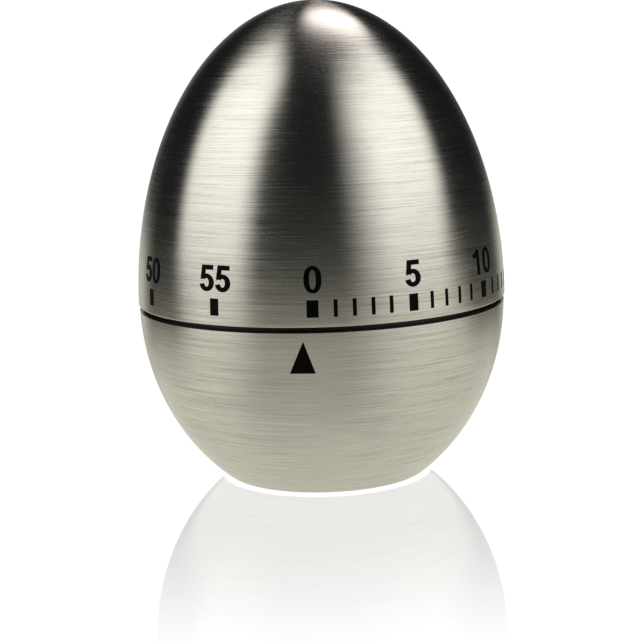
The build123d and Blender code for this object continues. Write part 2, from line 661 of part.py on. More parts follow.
def make_train():
    """The going train and the alarm's star wheel, each wheel in mesh at rest."""
    first_root = FIRST_TEETH * FIRST_MODULE / 2 - 1.3 * FIRST_MODULE
    make_wheel(
        "great_wheel",
        lambda: wheel_outline(FIRST_TEETH, FIRST_MODULE, heading(MAIN, SECOND)),
        MAIN, GREAT_Z, ARBOR_R + RUN, first_root - 1.3, 4, thickness=0.8,
    )
    make_wheel(
        "alarm_wheel",
        lambda: wheel_outline(FIRST_TEETH, FIRST_MODULE, heading(MAIN, STAR)),
        MAIN, ALARM_Z, ARBOR_R, first_root - 1.3, 5,
        boss=(3.2, GREAT_Z + 1.4, ALARM_Z), thickness=0.8,
    )
    make_wheel(
        "second_wheel",
        lambda: wheel_outline(SECOND_TEETH, SECOND_MODULE, heading(SECOND, THIRD)),
        SECOND, SECOND_Z, TRAIN_R, 7.5, 4, boss=(1.5, SECOND_Z - 0.6, SECOND_Z),
    )
    make_wheel(
        "third_wheel",
        lambda: wheel_outline(THIRD_TEETH, THIRD_MODULE, heading(THIRD, ESCAPE)),
        THIRD, THIRD_Z, TRAIN_R, 6.2, 4, boss=(1.4, THIRD_Z - 0.6, THIRD_Z),
    )
    make_wheel(
        "escape_wheel",
        lambda: pointed_outline(ESCAPE_TEETH, ESCAPE_R, 1.1, 0.12, 0),
        ESCAPE, CAM_Z, TRAIN_R, 3.2, 3, boss=(1.3, CAM_Z - 0.6, CAM_Z),
    )
    make_wheel(
        "star_wheel",
        lambda: pointed_outline(STAR_TEETH, STAR_R, 1.1, 0.5, 0),
        STAR, CAM_Z, TRAIN_R, 0, 0, boss=(1.3, CAM_Z - 0.5, CAM_Z),
    )
    make_pinion("second_pinion", SECOND, GREAT_Z - 0.3, GREAT_Z + 1.1, FIRST_MODULE, MAIN)
    make_pinion("third_pinion", THIRD, SECOND_Z - 0.3, SECOND_Z + 1.0, SECOND_MODULE, SECOND)
    make_pinion(
        "escape_pinion", ESCAPE, THIRD_Z - 0.4, THIRD_Z + 1.0, THIRD_MODULE, THIRD, ESCAPE_NECK_R
    )
    make_pinion("star_pinion", STAR, ALARM_Z - 0.2, ALARM_Z + 1.0, FIRST_MODULE, MAIN)
    make_arbor("second_arbor", SECOND)
    make_arbor("third_arbor", THIRD)
    make_arbor("anchor_arbor", ANCHOR)
    make_arbor("star_arbor", STAR)
    with BuildPart() as escape_arbor:
        drum(PIVOT_R, LOW_PLATE_Z, HIGH_PLATE_TOP, ESCAPE)
        drum(ESCAPE_NECK_R, PLATE_GAP_LOW + END_SHAKE, ESCAPE_NECK_TOP, ESCAPE)
        drum(TRAIN_R, ESCAPE_NECK_TOP, HIGH_PLATE_Z - END_SHAKE, ESCAPE)
    escape_arbor.part.label = "escape_arbor"
    export_step(escape_arbor.part, "parts/escape_arbor.step")


# ---- main arbor and what turns with it ----------------------------------------------------
def make_main_arbor():
    """The winding arbor: spring drum with its slot, clutch shoulder and a flatted top."""
    drum_top = SPRING_Z + SPRING_H + 0.1
    with BuildPart() as main_arbor:
        drum(LOW_PIVOT_R, LOW_PLATE_Z, PLATE_GAP_LOW + END_SHAKE)
        drum(ARBOR_R, PLATE_GAP_LOW + END_SHAKE, ARBOR_TOP)
        chamfer(main_arbor.faces().sort_by(Axis.Z)[-1].edges(), 0.3)
        drum(DRUM_R, PLATE_GAP_LOW + END_SHAKE, drum_top)
        drum(SHOULDER_R, GREAT_Z - SHOULDER_H, GREAT_Z)
        with BuildSketch(level(PLATE_GAP_LOW)):
            with Locations(Rotation(0, 0, SPRING_POST_ANGLE)):
                with Locations((DRUM_R, 0)):
                    Rectangle(2.0, 0.8)
        extrude(amount=drum_top - PLATE_GAP_LOW, mode=Mode.SUBTRACT)
        with BuildSketch(level(HUB_Z)):
            with Locations((0, FLAT_X + ARBOR_R / 2)):
                Rectangle(2 * ARBOR_R, ARBOR_R)
        extrude(amount=ARBOR_TOP - HUB_Z, mode=Mode.SUBTRACT)
    main_arbor.part.label = "main_arbor"
    export_step(main_arbor.part, "parts/main_arbor.step")


def make_clutch_spring():
    """The three-legged spring washer that presses the great wheel on the arbor's shoulder."""
    z, leaf_t = GREAT_Z + 0.8, 0.3
    ring_r, leg_middle, leg_l, leg_w = 3.2, 4.4, 4.0, 1.4
    toe_middle, toe_r = 5.6, 0.6
    with BuildPart() as clutch_spring:
        ring(ring_r, ARBOR_R, z + leaf_t, z + 2 * leaf_t)
        with BuildSketch(level(z + leaf_t)):
            with PolarLocations(leg_middle, 3):
                SlotOverall(leg_l, leg_w)
        extrude(amount=leaf_t)
        with BuildSketch(level(z)):
            with PolarLocations(toe_middle, 3):
                Circle(toe_r)
        extrude(amount=leaf_t)
        drum(ARBOR_R, z, z + 2 * leaf_t, mode=Mode.SUBTRACT)
    clutch_spring.part.label = "clutch_spring"
    export_step(clutch_spring.part, "parts/clutch_spring.step")


def make_release_cam():
    """The cam on the main arbor; its notch lets the release lever drop at zero."""
    with BuildPart() as release_cam:
        drum(CAM_R, CAM_Z, CAM_Z + CAM_T)
        drum(CAM_HUB_R, ALARM_Z + 0.8, CAM_Z)
        with BuildSketch(level(CAM_Z)):
            with BuildLine():
                low = CAM_R - NOTCH_DEPTH
                middle = (NOTCH_FROM + NOTCH_TO) / 2
                ThreePointArc(polar(low, NOTCH_FROM), polar(low, middle), polar(low, NOTCH_TO))
                Polyline(
                    polar(low, NOTCH_TO),
                    polar(CAM_R + 1, NOTCH_TO),
                    polar(CAM_R + 1, middle),
                    polar(CAM_R + 1, NOTCH_FROM),
                    polar(low, NOTCH_FROM),
                )
            make_face()
        extrude(amount=CAM_T, mode=Mode.SUBTRACT)
        drum(ARBOR_R, ALARM_Z, CAM_Z + CAM_T, mode=Mode.SUBTRACT)
    release_cam.part.label = "release_cam"
    export_step(release_cam.part, "parts/release_cam.step")


def make_stop_arm():
    """The arm over the top plate that meets the stop pin at zero and at full wind."""
    z, reach = HIGH_PLATE_TOP + STOP_ARM_LIFT, STOP_R + STOP_OVERLAP
    side = math.degrees((STOP_PIN_R + STOP_ARM_W / 2) / STOP_R) + 0.15
    with BuildPart() as stop_arm:
        drum(STOP_HUB_R, z, z + STOP_ARM_T)
        with BuildSketch(level(z)):
            with Locations(Rotation(0, 0, STOP_ANGLE - side)):
                with Locations((reach / 2, 0)):
                    Rectangle(reach, STOP_ARM_W)
        extrude(amount=STOP_ARM_T)
        drum(ARBOR_R, z, z + STOP_ARM_T, mode=Mode.SUBTRACT)
    stop_arm.part.label = "stop_arm"
    export_step(stop_arm.part, "parts/stop_arm.step")


def make_mainspring():
    """A flat coiled spring of half-turn arcs, a hook in the arbor's slot and an eye outside."""
    half_t, last_r = SPRING_HALF_T, SPRING_FIRST_R + SPRING_HALF_PITCH * SPRING_HALF_TURNS
    hook_l, hook_sink = 1.0, 0.55
    tail_l = SPRING_POST_R - last_r - 0.7
    with BuildPart() as mainspring:
        with BuildSketch(Plane((0, 0, SPRING_Z), x_dir=(0, -1, 0), z_dir=(0, 0, 1))):
            with BuildLine():
                for side in (half_t, -half_t):
                    for k in range(SPRING_HALF_TURNS):
                        radius = SPRING_FIRST_R + SPRING_HALF_PITCH * k + side
                        centre = (SPRING_HALF_PITCH * (k % 2), 0)
                        CenterArc(centre, radius, 180 * (k % 2), 180)
                for x in (SPRING_FIRST_R, last_r):
                    Line((x - half_t, 0), (x + half_t, 0))
            make_face()
            with Locations((SPRING_FIRST_R - hook_sink, half_t)):
                Rectangle(hook_l, 2 * half_t)
            with Locations(((last_r + SPRING_POST_R) / 2 - 0.45, -half_t)):
                Rectangle(tail_l, 2 * half_t)
            with Locations((SPRING_POST_R, 0)):
                Circle(SPRING_EYE_R)
                Circle(POST_R + RUN, mode=Mode.SUBTRACT)
        extrude(amount=SPRING_H)
    mainspring.part.label = "mainspring"
    export_step(mainspring.part, "parts/mainspring.step")


# ---- swinging pieces ----------------------------------------------------------------------
def arm(a, b, width):
    """A round-ended flat arm between two points, in the current sketch."""
    with Locations(((a[0] + b[0]) / 2, (a[1] + b[1]) / 2)):
        SlotCenterToCenter(gap(a, b), width, rotation=heading(a, b))


def make_anchor(name, pivot, wheel_at, wheel_r, bore, tail=None):
    """A two-armed anchor over its wheel, with a pin each side of the line of centres."""
    pin_circle = wheel_r + PALLET_PIN_R + PALLET_CLEAR
    line = heading(wheel_at, pivot)
    pins = []
    for side in (-1, 1):
        x, y, _ = polar(pin_circle, line + side * PALLET_SPREAD)
        pins.append((wheel_at[0] + x, wheel_at[1] + y))
    with BuildPart() as anchor:
        with BuildSketch(Plane.XY.offset(ANCHOR_Z)):
            with Locations(pivot[:2]):
                Circle(ANCHOR_HUB_R)
            for pin in pins + ([tail] if tail else []):
                arm(pivot, pin, ANCHOR_ARM_W)
        extrude(amount=ANCHOR_T)
        for pin in pins:
            drum(PALLET_PIN_R, CAM_Z - 0.2, ANCHOR_Z, pin)
        drum(bore, ANCHOR_Z, ANCHOR_Z + ANCHOR_T, pivot, Mode.SUBTRACT)
    anchor.part.label = name
    export_step(anchor.part, f"parts/{name}.step")


def make_inertia_ring():
    """The loose balance ring whose mass sets the tick."""
    with BuildPart() as inertia_ring:
        ring(BALANCE_OUT, BALANCE_IN, RING_Z, RING_Z + RING_T, ANCHOR)
        with BuildSketch(level(RING_Z + RING_T / 4, ANCHOR)):
            Circle(1.4)
            Rectangle(BALANCE_IN + BALANCE_OUT - 0.7, 1.4)
            Circle(TRAIN_R, mode=Mode.SUBTRACT)
        extrude(amount=RING_T / 2)
    inertia_ring.part.label = "inertia_ring"
    export_step(inertia_ring.part, "parts/inertia_ring.step")


def make_hammer():
    """The hammer's arbor, its rod round the bell and its head beside the bell's rim."""
    rod_low, rod_high = ROD_Z - ROD_R, ROD_Z + ROD_R
    with BuildPart() as hammer_arbor:
        drum(PIVOT_R, HIGH_PLATE_Z - 0.2, HIGH_PLATE_TOP, HAMMER)
        drum(HAMMER_ARBOR_R, rod_low - 0.4, HIGH_PLATE_Z - END_SHAKE, HAMMER)
    hammer_arbor.part.label = "hammer_arbor"
    export_step(hammer_arbor.part, "parts/hammer_arbor.step")
    with BuildPart() as hammer_rod:
        with BuildSketch(Plane.XY.offset(rod_low)):
            with Locations(HAMMER[:2]):
                Circle(ROD_HUB_R)
            arm(HAMMER, HEAD, 2 * ROD_R + 0.1)
            with Locations(HEAD[:2]):
                Circle(1.0)
            with Locations(HAMMER[:2]):
                Circle(HAMMER_ARBOR_R, mode=Mode.SUBTRACT)
        extrude(amount=rod_high - rod_low)
    hammer_rod.part.label = "hammer_rod"
    export_step(hammer_rod.part, "parts/hammer_rod.step")
    with BuildPart() as hammer_head:
        drum(HEAD_R, BELL_Z + 0.5, rod_low, HEAD)
        chamfer(hammer_head.edges().filter_by(GeomType.CIRCLE), HEAD_BEVEL)
    hammer_head.part.label = "hammer_head"
    export_step(hammer_head.part, "parts/hammer_head.step")


def make_release_lever():
    """The lever that rides the cam with its finger and guards the hammer with its tail."""
    finger, elbow, tail = polar(*LEVER_FINGER), polar(*LEVER_ELBOW), polar(*LEVER_TAIL)
    tail_z = ANCHOR_Z + LEVER_TAIL_LIFT
    with BuildPart() as release_lever:
        with BuildSketch(Plane.XY.offset(CAM_Z)):
            with Locations(LEVER[:2]):
                Circle(LEVER_HUB_R)
            arm(LEVER, finger, 1.0)
        extrude(amount=LEVER_T)
        drum(LEVER_HUB_R, CAM_Z + LEVER_T, tail_z, LEVER)
        with BuildSketch(Plane.XY.offset(tail_z)):
            with Locations(LEVER[:2]):
                Circle(LEVER_HUB_R)
            arm(LEVER, elbow, 1.2)
            arm(elbow, tail, 1.2)
        extrude(amount=LEVER_TAIL_T)
        drum(LEVER_PIVOT_R + RUN, CAM_Z, tail_z + LEVER_TAIL_T, LEVER, Mode.SUBTRACT)
    release_lever.part.label = "release_lever"
    export_step(release_lever.part, "parts/release_lever.step")


# ---- collar cover and dial carrier --------------------------------------------------------
def make_collar_cover():
    """The black cover over the movement; its collar guides the dial and shows in the seam."""
    cover_top = CUP_TOP + COLLAR_COVER_T
    with BuildPart() as collar_cover:
        drum(COLLAR_COVER_R, CUP_TOP, cover_top)
        ring(COLLAR_R, COLLAR_R - COLLAR_T, cover_top, cover_top + COLLAR_H)
        drum(COLLAR_HOLE_R, CUP_TOP, cover_top, mode=Mode.SUBTRACT)
        for angle in COVER_SCREW_ANGLES:
            drum(1.0, CUP_TOP, cover_top, polar(COVER_SCREW_R, angle), Mode.SUBTRACT)
        with BuildSketch(level(CUP_TOP)):
            with PolarLocations(COVER_SLOT_R, COVER_SLOTS, start_angle=180 / COVER_SLOTS):
                SlotOverall(COVER_SLOT_L, COVER_SLOT_W)
        extrude(amount=COLLAR_COVER_T, mode=Mode.SUBTRACT)
    collar_cover.part.label = "collar_cover"
    export_step(collar_cover.part, "parts/collar_cover.step")


def make_dial_carrier():
    """The moulded spider glued in the dial shell, with a hub pressed on the main arbor."""
    web_top, bore_top = WEB_Z + WEB_T, ARBOR_TOP + 0.2
    with BuildPart() as dial_carrier:
        ring(SKIRT_OUT, SKIRT_IN, SKIRT_Z, web_top + SKIRT_RISE)
        drum(SKIRT_IN, WEB_Z, web_top)
        spoke_windows(WEB_Z, WEB_T, MAIN, WEB_IN, WEB_OUT, CARRIER_RIBS, WEB_ARM_W)
        drum(HUB_R, HUB_Z, ARBOR_TOP + 1.5)
        for k in range(CARRIER_RIBS):
            across = Plane.XZ.rotated((0, 0, 360 * k / CARRIER_RIBS))
            with BuildSketch(across):
                with BuildLine():
                    Polyline(
                        (HUB_R - 1, web_top),
                        (RIB_OUT, web_top),
                        (RIB_OUT, web_top + RIB_END_H),
                        (HUB_R, ARBOR_TOP - 1),
                        (HUB_R - 1, ARBOR_TOP - 1),
                        close=True,
                    )
                make_face()
            extrude(amount=RIB_HALF_T, both=True)
        with BuildSketch(level(HUB_Z)):
            Circle(ARBOR_R + PRESS)
            with Locations((0, FLAT_X + PRESS + ARBOR_R / 2)):
                Rectangle(2 * ARBOR_R, ARBOR_R, mode=Mode.SUBTRACT)
        extrude(amount=bore_top - HUB_Z, mode=Mode.SUBTRACT)
    dial_carrier.part.label = "dial_carrier"
    export_step(dial_carrier.part, "parts/dial_carrier.step")


def make_all_screws():
    """Every screw group; screws that are alike share one node."""
    base = [polar(BASE_SCREW_R, angle) for angle in BASE_SCREW_ANGLES]
    make_screws("base_screws", base, FOOT_LIFT + POCKET_DEPTH, -1)
    make_screws("bell_screw", [MAIN], BELL_TOP, 1)
    movement = [polar(MOVEMENT_SCREW_R, angle) for angle in MOVEMENT_SCREW_ANGLES]
    make_screws("movement_screws", movement, PLATE_GAP_LOW, 1)
    pillar = [polar(PILLAR_R, angle) for angle in PILLAR_ANGLES]
    make_screws("pillar_screws", pillar, HIGH_PLATE_TOP, 1)
    cover = [polar(COVER_SCREW_R, angle) for angle in COVER_SCREW_ANGLES]
    make_screws("cover_screws", cover, CUP_TOP + COLLAR_COVER_T, 1)


make_top_shell()
make_bottom_shell()
make_base_cover()
make_foot_ring()
make_liner_cup()
make_bell()
make_bell_washer()
make_plates()
make_pillars()
make_bushes()
make_posts()
make_train()
make_main_arbor()
make_clutch_spring()
make_release_cam()
make_stop_arm()
make_mainspring()
make_anchor("pallet_anchor", ANCHOR, ESCAPE, ESCAPE_R, TRAIN_R)
make_inertia_ring()
make_hammer()
make_anchor("hammer_verge", HAMMER, STAR, STAR_R, HAMMER_ARBOR_R, polar(*VERGE_TAIL))
make_release_lever()
make_collar_cover()
make_dial_carrier()
make_all_screws()
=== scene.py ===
"""Looks of the egg-shaped kitchen timer: brushed shells, printed scale, stage, light and camera."""

import json
import math

import bpy
from mathutils import Matrix, Vector


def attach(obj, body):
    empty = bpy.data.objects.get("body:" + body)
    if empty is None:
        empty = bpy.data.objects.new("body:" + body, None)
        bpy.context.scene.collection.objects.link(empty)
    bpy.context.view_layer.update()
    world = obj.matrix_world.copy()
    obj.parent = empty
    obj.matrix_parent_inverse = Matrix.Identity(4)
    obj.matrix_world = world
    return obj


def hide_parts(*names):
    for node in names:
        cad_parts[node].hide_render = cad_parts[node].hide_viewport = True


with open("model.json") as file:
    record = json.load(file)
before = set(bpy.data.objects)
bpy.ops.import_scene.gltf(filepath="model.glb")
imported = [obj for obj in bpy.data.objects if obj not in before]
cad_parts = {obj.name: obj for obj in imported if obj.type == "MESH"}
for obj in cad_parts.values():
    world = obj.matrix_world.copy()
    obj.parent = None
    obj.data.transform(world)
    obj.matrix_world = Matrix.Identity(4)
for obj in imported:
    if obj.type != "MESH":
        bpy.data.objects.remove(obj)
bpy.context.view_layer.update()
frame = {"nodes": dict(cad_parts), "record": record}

MM = 0.001

# ---- the egg, in millimetres, as in the CAD ------------------------------------------------
RADIUS = 30.0
HEIGHT = 77.4
SEAM_Z = 29.4
SEAM_GAP = 0.85
STEEL = 0.5
BOWL_R, BOWL_DEPTH = 29.86, 34.75  # half width and half height of the bowl's ellipse
FOOT_LIFT = 0.4  # the bowl's lowest edge stands this high, on the rubber ring
FOOT_ROUND = 0.7
RIM_ROUND = 0.2
FOLD_Z, FOLD_TOP = FOOT_LIFT + 1.2, FOOT_LIFT + 1.4  # inside, where wall and recess meet
RECESS_R, RECESS_Z = 14.3, 2.6  # the hollow under the base
SHARP = math.radians(50)  # edges sharper than this stay sharp

# ---- the print, in millimetres ---------------------------------------------------------------
FRONT = -90.0  # azimuth of the side towards the user
ZERO_TURN = -2.7  # the dial's zero stands this far from the front, in degrees
MINUTE = 6  # degrees
INK_LIFT = 0.015
BLOCK_FROM, BLOCK_TO = 1.52, 4.12  # along the surface, from the dial's lower edge
BLOCK_WIDTH, ZERO_BLOCK_WIDTH = 1.5, 1.75
TICK_FROM, TICK_TO, TICK_WIDTH = 1.56, 4.16, 0.60
TICK_CROWD = 0.965  # fine ticks stand a little nearer to the block before them
FINE_TICKS_UNTIL = 15  # minutes
NUMERAL_FROM, NUMERAL_HEIGHT, NUMERAL_WIDEN = 5.18, 3.96, 1.05
NUMERAL_SHIFT = 0.12  # to the right of its block
POINTER_TURN = -5.75
POINTER_FROM, POINTER_TO, POINTER_WIDTH = 1.32, 6.22, 3.85  # below the bowl's rim
POINTER_LEAN = -0.25  # its base stands this far to the left of its tip
POINTER_TIP = 0.05  # half its width there

# ---- the steel --------------------------------------------------------------------------------
# how often a noise repeats round the axis and along the surface, its detail and its roughness
HAIR = (2.0, 6500.0, 3.0, 0.65)
DASH = (18.0, 2500.0, 2.0, 0.5)
CLOUD = (2.2, 90.0, 3.0, 0.6)
DASH_DEPTH = (0.3, 1.7)  # a hair's depth varies between these
CLOUD_SHARE = 0.15
MIDDLE = 0.425  # brings the mixed noise to about 0.5
STEEL_COLOURS = [(0.34, (0.47, 0.455, 0.42)), (0.52, (0.63, 0.615, 0.57)),
                 (0.68, (0.73, 0.715, 0.665))]
STEEL_ROUGHNESS = (0.20, 0.28)

# ---- the light; pairs are (where it starts, where it is full), in degrees or metres -------------
LAMP_DIRECTION = Vector((0.166, 0.490, 0.856)).normalized()
LAMP_EDGE, LAMP_CORE = math.cos(math.radians(17.5)), math.cos(math.radians(9))
LAMP_LIGHT = (3.15, 2.88, 2.85)
STUDIO_DARK = (0.010, 0.012, 0.013)
BOX_LIGHT, BOX_STRENGTH = (1.0, 0.985, 0.94), 1.66
BOX_FOOT = 0.64  # share of a box's light at its foot
BOX_RISE = (-10.0, 45.0)
BACKDROP_LIGHT = (0.93, 1.0, 1.06)
BACKDROP_LEFT, BACKDROP_RIGHT = 0.32, 0.16
BACKDROP_TURN, BACKDROP_TOP = (145, 185), (30, 0)
WHITE = 1.05  # what the camera sees as white

FLOOR_SIZE = 3.0  # half its side
# the floor glows, and the steel sees painted light and shade in that glow: painted light at its
# sides, less in front, painted dark gaps beside the egg, painted shade behind it, and darker far off
# and further in front
FLOOR_PAINTED_SIDES, FLOOR_PAINTED_FRONT = 0.78, 0.50  # what the steel sees at its sides and in front of it
FLOOR_WARM = (1.0, 0.98, 0.86)
FRONT_LEFT, FRONT_RIGHT, FRONT_FAR = (-60, -27), (51, 10), (0.018, 0.052)
GAP_MIDDLE = 4.0  # the dark gaps beside the egg lie evenly round this azimuth
GAP_INNER, GAP_OUTER, GAP_FAR, GAP_DEPTH = (76, 101), (152, 126), (0.04, 0.20), 0.88
# painted shade on the floor behind the egg, deeper near it
BACK_TURN, BACK_DEPTH = (120, 165), 0.23  # dimmer behind the egg
PAINTED_SHADE_NEAR, PAINTED_SHADE_NEAR_DEPTH = (0.25, 0.10), 0.22  # and more so near it
FAR, FAR_DEPTH = (0.3, 1.2), 0.7
AHEAD = (-0.50, -0.12)  # dark further in front than this
IMAGE_STRENGTH = 0.385  # of the egg's mirror image, seen only by the camera
IMAGE_FADE, IMAGE_START = (0.100, 0.030), (0.0171, 0.0178)

# ---- the camera, in millimetres -------------------------------------------------------------------
CAMERA_PLACE, CAMERA_TARGET = Vector((0, -275.0, 73.6)), Vector((-0.085, 0, 24.95))
CAMERA_ROLL, CAMERA_LENS, SENSOR = -1.885, 94.35, 36.0


# ---- surfaces -------------------------------------------------------------------------------
def dome_profile(inset, count):
    """(radius, z) points up the dome, from the seam to the tip."""
    rise = HEIGHT - SEAM_Z - inset
    turns = [math.pi / 2 * k / count for k in range(count + 1)]
    return [((RADIUS - inset) * math.cos(a), SEAM_Z + rise * math.sin(a)) for a in turns]


def bowl_point(z, inset=0.0):
    """The bowl's (radius, z) at a height, moved inwards from the surface by the inset."""
    t = (SEAM_Z - z) / BOWL_DEPTH
    share = math.sqrt(1 - t * t)
    slope = BOWL_R * t / share / BOWL_DEPTH
    length = math.hypot(1, slope)
    return (BOWL_R * share - inset / length, z + inset * slope / length)


def bowl_profile(z_low, z_high, inset, count):
    return [bowl_point(z_low + (z_high - z_low) * k / count, inset) for k in range(count + 1)]


def walk(profile, distance):
    """The point and outward normal at a distance along a (radius, z) profile."""
    side = 1 if profile[-1][1] > profile[0][1] else -1
    for (r0, z0), (r1, z1) in zip(profile, profile[1:]):
        length = math.hypot(r1 - r0, z1 - z0)
        if distance <= length:
            t = distance / length
            out, up = side * (z1 - z0) / length, side * (r0 - r1) / length
            return r0 + (r1 - r0) * t, z0 + (z1 - z0) * t, out, up
        distance -= length
    raise ValueError("the print runs off the surface")


# ---- mesh pieces ----------------------------------------------------------------------------
def new_object(name, verts, faces, material, smooth=True):
    mesh = bpy.data.meshes.new(name)
    mesh.from_pydata(verts, [], faces)
    mesh.validate()
    mesh.polygons.foreach_set("use_smooth", [smooth] * len(mesh.polygons))
    mesh.materials.append(material)
    piece = bpy.data.objects.new(name, mesh)
    bpy.context.scene.collection.objects.link(piece)
    return piece


def lathe(name, profile, material, segments=256):
    """Turns a closed (radius, z) profile round Z; points on the axis become one vertex."""
    verts, rows = [], []
    for r, z in profile:
        if r < 1e-6:
            rows.append([len(verts)] * segments)
            verts.append((0, 0, z * MM))
            continue
        rows.append(list(range(len(verts), len(verts) + segments)))
        for k in range(segments):
            a = math.tau * k / segments
            verts.append((r * math.cos(a) * MM, r * math.sin(a) * MM, z * MM))
    faces = []
    for low, high in zip(rows, rows[1:]):
        for k in range(segments):
            n = (k + 1) % segments
            corners = list(dict.fromkeys((low[k], low[n], high[n], high[k])))
            if len(corners) > 2:
                faces.append(corners)
    return new_object(name, verts, faces, material)


def rounded(corner_a, corner, corner_b, radius, count=5):
    """An arc of points that rounds one corner of a (radius, z) outline."""
    a, c, b = Vector(corner_a), Vector(corner), Vector(corner_b)
    to_a, to_b = (a - c).normalized(), (b - c).normalized()
    half = to_a.angle(to_b) / 2
    reach = radius / math.tan(half)
    middle = c + (to_a + to_b).normalized() * (radius / math.sin(half))
    start, end = c + to_a * reach - middle, c + to_b * reach - middle
    points = []
    for k in range(count + 1):
        t = k / count
        spoke = (start * (1 - t) + end * t).normalized() * radius
        points.append(tuple(middle + spoke))
    return points


# ---- node trees -----------------------------------------------------------------------------
class Tree:
    """A node tree, emptied, with a short call for each node that the looks need."""

    def __init__(self, owner):
        owner.use_nodes = True
        self.nodes, self.links = owner.node_tree.nodes, owner.node_tree.links
        self.nodes.clear()

    def new(self, kind):
        return self.nodes.new("ShaderNode" + kind)

    def put(self, value, socket):
        """Links an output to a socket, or sets the socket to a number or a colour."""
        if isinstance(value, tuple):
            socket.default_value = (*value, 1)
        elif isinstance(value, (int, float)):
            socket.default_value = value
        else:
            self.links.new(value, socket)

    def place(self, output="Object"):
        return self.new("TexCoord").outputs[output]

    def split(self, vector):
        node = self.new("SeparateXYZ")
        self.links.new(vector, node.inputs[0])
        return node.outputs

    def math(self, operation, *values):
        node = self.new("Math")
        node.operation = operation
        for socket, value in zip(node.inputs, values):
            self.put(value, socket)
        return node.outputs[0]

    def product(self, first, *others):
        for value in others:
            first = self.math("MULTIPLY", first, value)
        return first

    def total(self, first, *others):
        for value in others:
            first = self.math("ADD", first, value)
        return first

    def without(self, share):
        return self.math("SUBTRACT", 1.0, share)

    def radius(self, x, y, least=0.0):
        square = self.total(self.product(x, x), self.product(y, y))
        return self.math("SQRT", self.total(square, least) if least else square)

    def azimuth(self, x, y):
        """Degrees round the vertical from the user's side, positive to the right."""
        return self.math("DEGREES", self.math("ARCTAN2", x, self.product(y, -1.0)))

    def noise(self, vector, scale, detail=4.0, roughness=0.6):
        node = self.new("TexNoise")
        node.inputs["Scale"].default_value = scale
        node.inputs["Detail"].default_value = detail
        node.inputs["Roughness"].default_value = roughness
        self.links.new(vector, node.inputs["Vector"])
        return node.outputs["Fac"]

    def ramp(self, value, stops):
        node = self.new("ValToRGB")
        elements = node.color_ramp.elements
        while len(elements) < len(stops):
            elements.new(0.5)
        for element, (position, colour) in zip(elements, stops):
            element.position = position
            element.color = (*colour, 1)
        self.links.new(value, node.inputs["Fac"])
        return node.outputs["Color"]

    def spread(self, noise, low, high):
        """Spreads the middle of a noise's range, 0.3 to 0.7, over low to high."""
        return self.map(noise, (0.3, 0.7), (low, high))

    def step(self, value, start, end):
        """0 before start, 1 past end, smooth between; start may be the larger."""
        return self.map(value, (start, end), (0.0, 1.0), "SMOOTHSTEP")

    def map(self, value, source, target, interpolation="LINEAR"):
        node = self.new("MapRange")
        node.interpolation_type = interpolation
        node.inputs["From Min"].default_value, node.inputs["From Max"].default_value = source
        node.inputs["To Min"].default_value, node.inputs["To Max"].default_value = target
        self.links.new(value, node.inputs["Value"])
        return node.outputs["Result"]

    def mix(self, factor, a, b, blend="MIX"):
        node = self.new("Mix")
        node.data_type = "RGBA"
        node.blend_type = blend
        node.clamp_factor = blend == "MIX"
        self.put(factor, node.inputs["Factor"])
        self.put(a, node.inputs[6])
        self.put(b, node.inputs[7])
        return node.outputs[2]

    def bump(self, height, strength, distance, shader):
        node = self.new("Bump")
        node.inputs["Strength"].default_value = strength
        node.inputs["Distance"].default_value = distance
        self.links.new(height, node.inputs["Height"])
        self.links.new(node.outputs[0], shader.inputs["Normal"])


def new_material(name):
    """A material, its tree, and its one Principled shader, already linked to the output."""
    material = bpy.data.materials.new(name)
    tree = Tree(material)
    shader = tree.new("BsdfPrincipled")
    tree.links.new(shader.outputs["BSDF"], tree.new("OutputMaterial").inputs["Surface"])
    return material, tree, shader


def turned_noise(tree, lean, round_scale, along_scale, detail, roughness):
    """A noise stretched round the Z axis; lean sets how radius adds to height."""
    x, y, z = tree.split(tree.place())
    radius = tree.radius(x, y, least=1e-9)
    level = tree.total(z, tree.product(radius, lean))
    join = tree.new("CombineXYZ")
    for socket, value in zip(join.inputs, (x, y)):
        tree.links.new(tree.product(tree.math("DIVIDE", value, radius), round_scale), socket)
    tree.links.new(tree.product(level, along_scale), join.inputs[2])
    return tree.noise(join.outputs[0], 1.0, detail, roughness)


# ---- materials ------------------------------------------------------------------------------
def brushed_steel(name, lean):
    """Stainless steel brushed round the axis, in short uneven strokes."""
    material, tree, shader = new_material(name)
    hair, dash, cloud = (turned_noise(tree, lean, *noise) for noise in (HAIR, DASH, CLOUD))
    stroke = tree.product(tree.math("SUBTRACT", hair, 0.5), tree.spread(dash, *DASH_DEPTH))
    both = tree.total(tree.product(cloud, CLOUD_SHARE), tree.total(stroke, MIDDLE))
    tree.links.new(tree.ramp(both, STEEL_COLOURS), shader.inputs["Base Color"])
    tree.links.new(tree.spread(both, *STEEL_ROUGHNESS), shader.inputs["Roughness"])
    shader.inputs["Metallic"].default_value = 1.0
    shader.inputs["Anisotropic"].default_value = 0.88
    shader.inputs["Anisotropic Rotation"].default_value = 0.25
    tangent = tree.new("Tangent")
    tangent.direction_type = "RADIAL"
    tangent.axis = "Z"
    tree.links.new(tangent.outputs[0], shader.inputs["Tangent"])
    tree.bump(both, 0.12, 0.00002, shader)
    return material


def printed_ink():
    """Black screen-printed ink: a little uneven, satin."""
    material, tree, shader = new_material("printed_ink")
    grain = tree.noise(tree.place(), 2500.0)
    colour = tree.ramp(grain, [(0.35, (0.0006, 0.0006, 0.0008)), (0.7, (0.0020, 0.0018, 0.0020))])
    tree.links.new(colour, shader.inputs["Base Color"])
    tree.links.new(tree.spread(grain, 0.40, 0.52), shader.inputs["Roughness"])
    shader.inputs["Specular IOR Level"].default_value = 0.06
    return material


